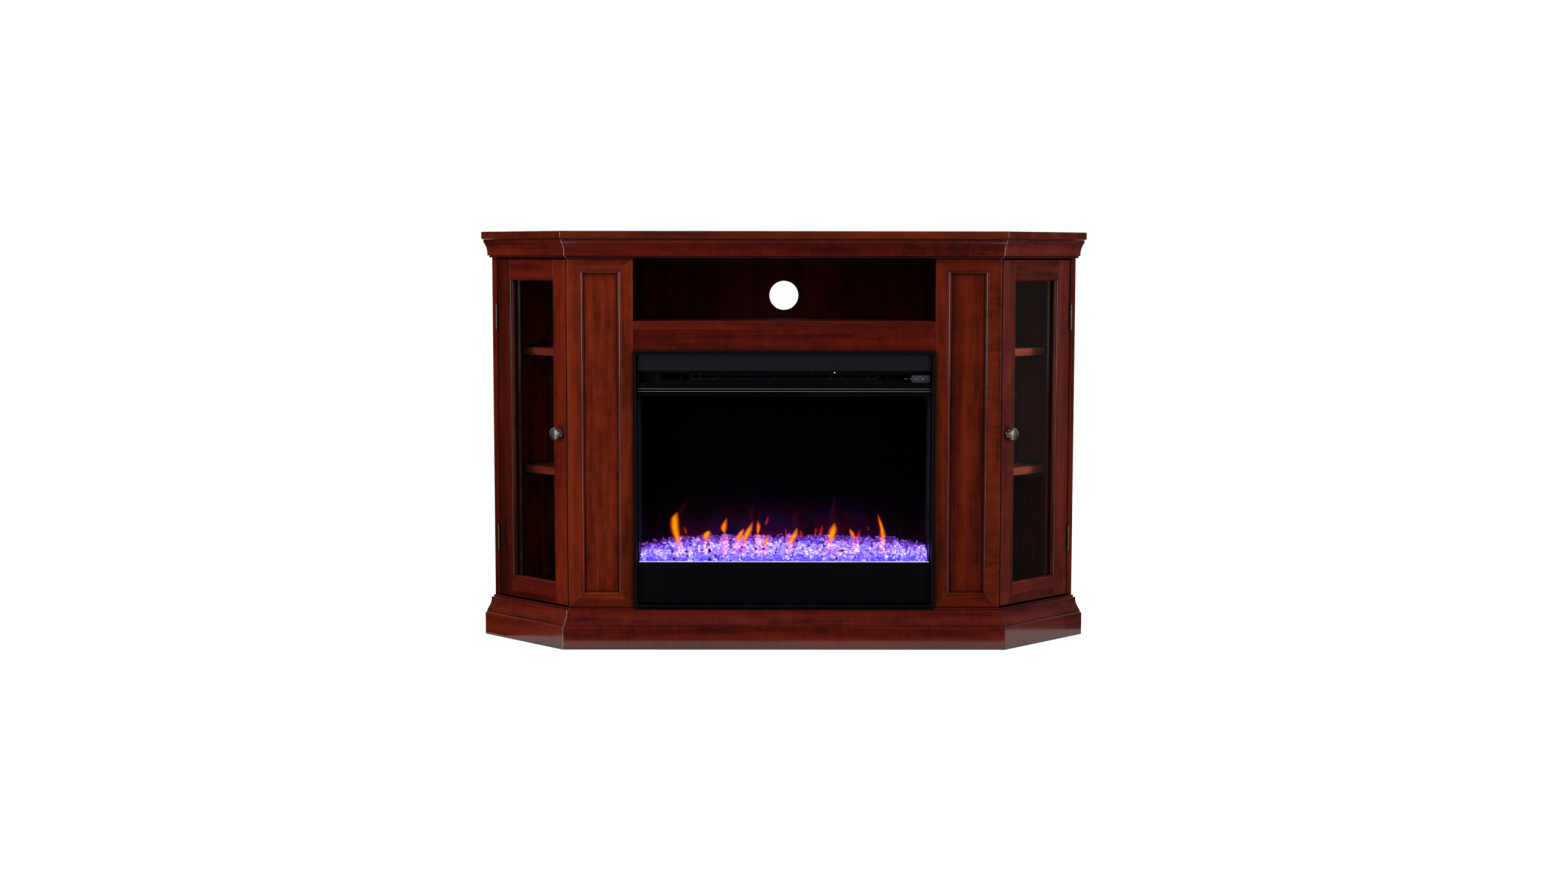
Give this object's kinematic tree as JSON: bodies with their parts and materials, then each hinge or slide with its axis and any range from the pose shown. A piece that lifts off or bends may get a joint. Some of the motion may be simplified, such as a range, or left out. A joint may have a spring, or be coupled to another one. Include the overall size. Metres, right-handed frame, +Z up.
{
  "type": "corner electric fireplace console",
  "caption": "Corner media console in cherry-stained wood with an electric fireplace insert, open niche above and glazed side cabinets behind angled doors.",
  "frame": {"origin": "centre of the footprint, on the floor", "axes": "+X to the right as seen from the front, +Y from the front to the back, +Z up"},
  "size_m": [1.221, 0.281, 0.8191],
  "materials": {
    "cherry": "cherry stain over fine-grained veneer, satin lacquer, darker glaze in seams and edges",
    "cherry_top": "cherry stained veneer top, satin lacquer",
    "cherry_inside": "darker cherry stain, low sheen",
    "clear_glass": "clear float glass, polished edges",
    "nickel": "antique satin nickel",
    "brass": "antique brass, worn",
    "black_steel": "fine-textured black powder coat",
    "black_trim": "satin black coated aluminium trim",
    "grey_plastic": "grey control plate and buttons",
    "black_plastic": "moulded black plastic",
    "crystal": "clear faceted acrylic crystals, lit violet and white from below",
    "smoked_acrylic": "smoked acrylic flame screen, lit from behind",
    "clear_acrylic": "clear acrylic tray",
    "circuit_board": "white circuit board with light-emitting diodes",
    "mirror_foil": "mirror foil on a steel shaft",
    "heater_metal": "bare sheet and fins"
  },
  "bodies": {
    "case": {"top_board": "cherry_top", "crown_front": "cherry", "crown_left": "cherry", "crown_right": "cherry", "base_front": "cherry", "base_left": "cherry", "base_right": "cherry", "floor_board": "cherry_inside", "back_panel": "cherry_inside", "media_shelf": "cherry", "header_rail": "cherry", "side_panel_left": "cherry", "side_panel_right": "cherry", "upright_left": "cherry_inside", "upright_right": "cherry_inside", "pilaster_frame_left": "cherry", "pilaster_frame_right": "cherry", "pilaster_panel_left": "cherry", "pilaster_panel_right": "cherry", "hinge_lower_case_left": "brass", "hinge_upper_case_left": "brass", "hinge_lower_case_right": "brass", "hinge_upper_case_right": "brass", "catch_left": "black_plastic", "catch_right": "black_plastic", "cabinet_shelf_lower_left": "cherry", "cabinet_shelf_lower_right": "cherry", "cabinet_shelf_upper_left": "cherry", "cabinet_shelf_upper_right": "cherry", "firebox_surround": "black_trim", "upper_panel": "black_steel", "lower_panel": "black_steel", "outlet_bar": "black_trim", "glass_bar": "black_trim", "front_glass": "clear_glass", "outlet_grille": "black_steel", "control_plate": "grey_plastic", "firebox_shell": "black_steel", "flame_screen": "smoked_acrylic", "crystal_tray": "clear_acrylic", "crystals": "crystal", "led_board": "circuit_board", "rotor_cradle": "heater_metal", "fan_casing": "black_steel", "heating_element": "heater_metal", "cord_gland": "black_plastic"},
    "door_left": {"door_frame_left": "cherry", "door_glass_left": "clear_glass", "knob_left": "nickel", "hinge_lower_door_left": "brass", "hinge_upper_door_left": "brass"},
    "door_right": {"door_frame_right": "cherry", "door_glass_right": "clear_glass", "knob_right": "nickel", "hinge_lower_door_right": "brass", "hinge_upper_door_right": "brass"},
    "flame_rotor": {"flame_rotor": "mirror_foil"},
    "fan_wheel": {"fan_wheel": "black_plastic"},
    "button_heat": {"button_heat": "grey_plastic"},
    "button_power": {"button_power": "grey_plastic"}
  },
  "joints": [
    {"name": "door_left_hinge", "type": "hinge", "parent": "case", "child": "door_left", "pos_m": [-0.58176, 0.04143, 0.42], "axis": [0, 0, -1], "range_deg": [0, 110]},
    {"name": "door_right_hinge", "type": "hinge", "parent": "case", "child": "door_right", "pos_m": [0.58176, 0.04143, 0.42], "axis": [0, 0, 1], "range_deg": [0, 110]},
    {"name": "flame_rotor_spin", "type": "hinge", "parent": "case", "child": "flame_rotor", "pos_m": [0, 0.0385, 0.178], "axis": [1, 0, 0], "continuous": true},
    {"name": "fan_wheel_spin", "type": "hinge", "parent": "case", "child": "fan_wheel", "pos_m": [0, -0.0055, 0.541], "axis": [1, 0, 0], "continuous": true},
    {"name": "button_heat_press", "type": "slide", "parent": "case", "child": "button_heat", "axis": [0, 1, 0], "range_m": [0, 0.0008], "stiffness_N_per_m": 800},
    {"name": "button_power_press", "type": "slide", "parent": "case", "child": "button_power", "axis": [0, 1, 0], "range_m": [0, 0.0008], "stiffness_N_per_m": 800}
  ]
}
